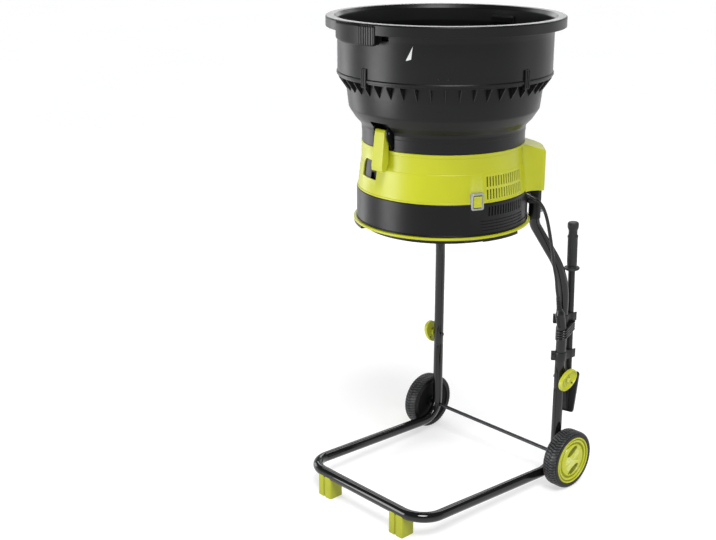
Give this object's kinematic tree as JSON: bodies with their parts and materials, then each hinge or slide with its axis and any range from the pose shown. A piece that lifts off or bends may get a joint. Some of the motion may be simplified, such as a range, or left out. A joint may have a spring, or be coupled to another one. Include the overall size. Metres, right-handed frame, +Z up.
{
  "type": "leaf shredder",
  "caption": "Electric leaf shredder: round hopper on a motor drum with line cutter, carried by a bent tube stand with wheels, front feet and a clipped-on tamper.",
  "frame": {"origin": "on the floor under the middle of the machine's outline", "axes": "+Z up, +X to the machine's right, front faces -Y; the drum's axis stands 11 mm in front of the origin"},
  "size_m": [0.5399, 0.5624, 1.165],
  "materials": {
    "black_plastic": "satin, finely grained",
    "dark_plastic": "satin",
    "lime_plastic": "satin gloss",
    "grey_plastic": "satin",
    "white_plastic": "satin",
    "black_paint": "gloss",
    "steel": "zinc plated",
    "dark_steel": "black painted rod",
    "laminated_iron": "dull",
    "copper": "bright",
    "nylon_line": "smooth",
    "wheel_rubber": "matte, moulded",
    "grip_rubber": "matte",
    "cord_rubber": "matte"
  },
  "bodies": {
    "stand": {"drum_band": "lime_plastic", "drum_housing": "black_plastic", "base_ring": "lime_plastic", "discharge_ring": "black_plastic", "ring_screws": "dark_steel", "motor_spider": "black_plastic", "motor_housing": "black_plastic", "stator": "laminated_iron", "brush_holders": "dark_plastic", "lower_bearing": "steel", "upper_bearing": "steel", "terminal_block": "dark_plastic", "interlock_switch": "dark_plastic", "switch_bezel": "grey_plastic", "base_frame": "black_paint", "left_leg": "black_paint", "right_leg": "black_paint", "socket_bolts": "steel", "axle": "dark_steel", "axle_nuts": "steel", "front_feet": "lime_plastic", "knob_nuts": "dark_steel", "upper_clip": "dark_plastic", "lower_clip": "dark_plastic", "clip_screws": "dark_steel", "cord_gland": "cord_rubber", "cord": "cord_rubber", "plug": "cord_rubber", "cord_strap": "grip_rubber"},
    "hopper": {"hopper_upper": "black_plastic", "hopper_lower": "black_plastic", "hopper_handles": "black_plastic", "fill_mark": "white_plastic", "latch_pins": "steel"},
    "cutter": {"rotor_core": "laminated_iron", "commutator": "copper", "cooling_fan": "dark_plastic", "motor_shaft": "steel", "cutter_disc": "dark_plastic", "cutting_lines": "nylon_line", "cutter_nut": "steel"},
    "rocker": {"switch_rocker": "lime_plastic"},
    "front_lever": {"front_latch": "lime_plastic"},
    "rear_lever": {"rear_latch": "lime_plastic"},
    "left_roller": {"left_wheel": "wheel_rubber", "left_hub_cap": "lime_plastic"},
    "right_roller": {"right_wheel": "wheel_rubber", "right_hub_cap": "lime_plastic"},
    "left_clamp": {"left_knob": "lime_plastic"},
    "right_clamp": {"right_knob": "lime_plastic"},
    "tamper": {"tamper_shaft": "dark_plastic", "tamper_grip": "grip_rubber"}
  },
  "joints": [
    {"name": "hopper_lift", "type": "slide", "parent": "stand", "child": "hopper", "axis": [0, 0, 1], "range_m": [0, 0.2]},
    {"name": "cutter_spin", "type": "hinge", "parent": "stand", "child": "cutter", "pos_m": [0, -0.011, 0.862], "axis": [0, 0, 1], "continuous": true},
    {"name": "switch_rock", "type": "hinge", "parent": "stand", "child": "rocker", "pos_m": [0.1818, -0.09194, 0.779], "axis": [0.4067, 0.9135, 0], "range_deg": [-8, 8]},
    {"name": "front_latch_swing", "type": "hinge", "parent": "hopper", "child": "front_lever", "pos_m": [0, -0.208, 0.923], "axis": [-1, 0, 0], "range_deg": [0, 65]},
    {"name": "rear_latch_swing", "type": "hinge", "parent": "hopper", "child": "rear_lever", "pos_m": [0, 0.186, 0.923], "axis": [1, 0, 0], "range_deg": [0, 65]},
    {"name": "left_wheel_spin", "type": "hinge", "parent": "stand", "child": "left_roller", "pos_m": [-0.242, 0.208, 0.0734], "axis": [1, 0, 0], "continuous": true},
    {"name": "right_wheel_spin", "type": "hinge", "parent": "stand", "child": "right_roller", "pos_m": [0.242, 0.208, 0.0734], "axis": [1, 0, 0], "continuous": true},
    {"name": "left_knob_turn", "type": "hinge", "parent": "stand", "child": "left_clamp", "pos_m": [-0.22, 0.208, 0.282], "axis": [1, 0, 0], "continuous": true},
    {"name": "right_knob_turn", "type": "hinge", "parent": "stand", "child": "right_clamp", "pos_m": [0.22, 0.208, 0.282], "axis": [1, 0, 0], "continuous": true},
    {"name": "tamper_pull", "type": "slide", "parent": "stand", "child": "tamper", "axis": [0, 1, 0], "range_m": [0, 0.08]}
  ]
}
